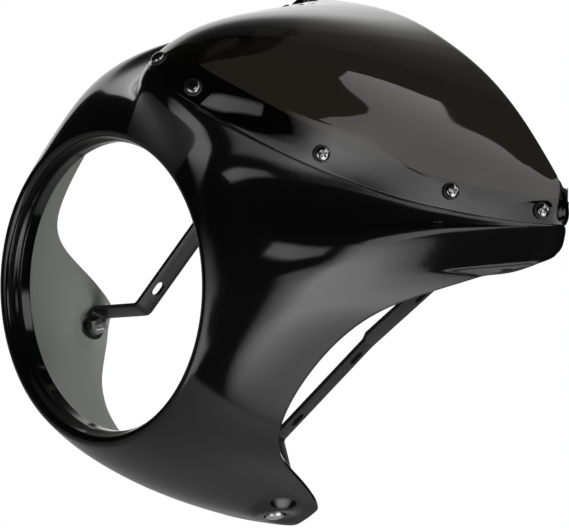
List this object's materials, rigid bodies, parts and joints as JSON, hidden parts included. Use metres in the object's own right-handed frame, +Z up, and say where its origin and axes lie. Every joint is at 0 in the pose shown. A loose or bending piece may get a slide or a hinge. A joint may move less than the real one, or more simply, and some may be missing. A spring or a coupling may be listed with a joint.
{
  "type": "headlight cowl",
  "caption": "Moulded cowl round a round lamp opening, with a tinted bubble windscreen and two bent steel fork brackets with oblong slots.",
  "frame": {"origin": "on the lamp axis, at the middle of the bore in the turned-in lip", "axes": "+X to the rider's left, -Y forward along the lamp axis, +Z up; the cowl is symmetric about X = 0"},
  "size_m": [0.296, 0.2387, 0.3241],
  "materials": {
    "shell_black": "gloss",
    "smoke_tint": "gloss",
    "black_steel": "gloss",
    "black_rubber": "matte",
    "strap_steel": "satin",
    "bright_steel": "satin"
  },
  "bodies": {
    "root": {"cowl_shell": "shell_black", "windscreen": "smoke_tint", "screen_screws": "black_steel", "screen_collars": "black_rubber", "screen_washers": "black_steel", "screen_nuts": "black_steel", "bracket_left": "strap_steel", "bracket_right": "strap_steel", "bracket_bolts": "bright_steel", "bracket_grommets": "black_rubber", "bracket_washers": "bright_steel", "bracket_nuts": "bright_steel"}
  },
  "joints": []
}
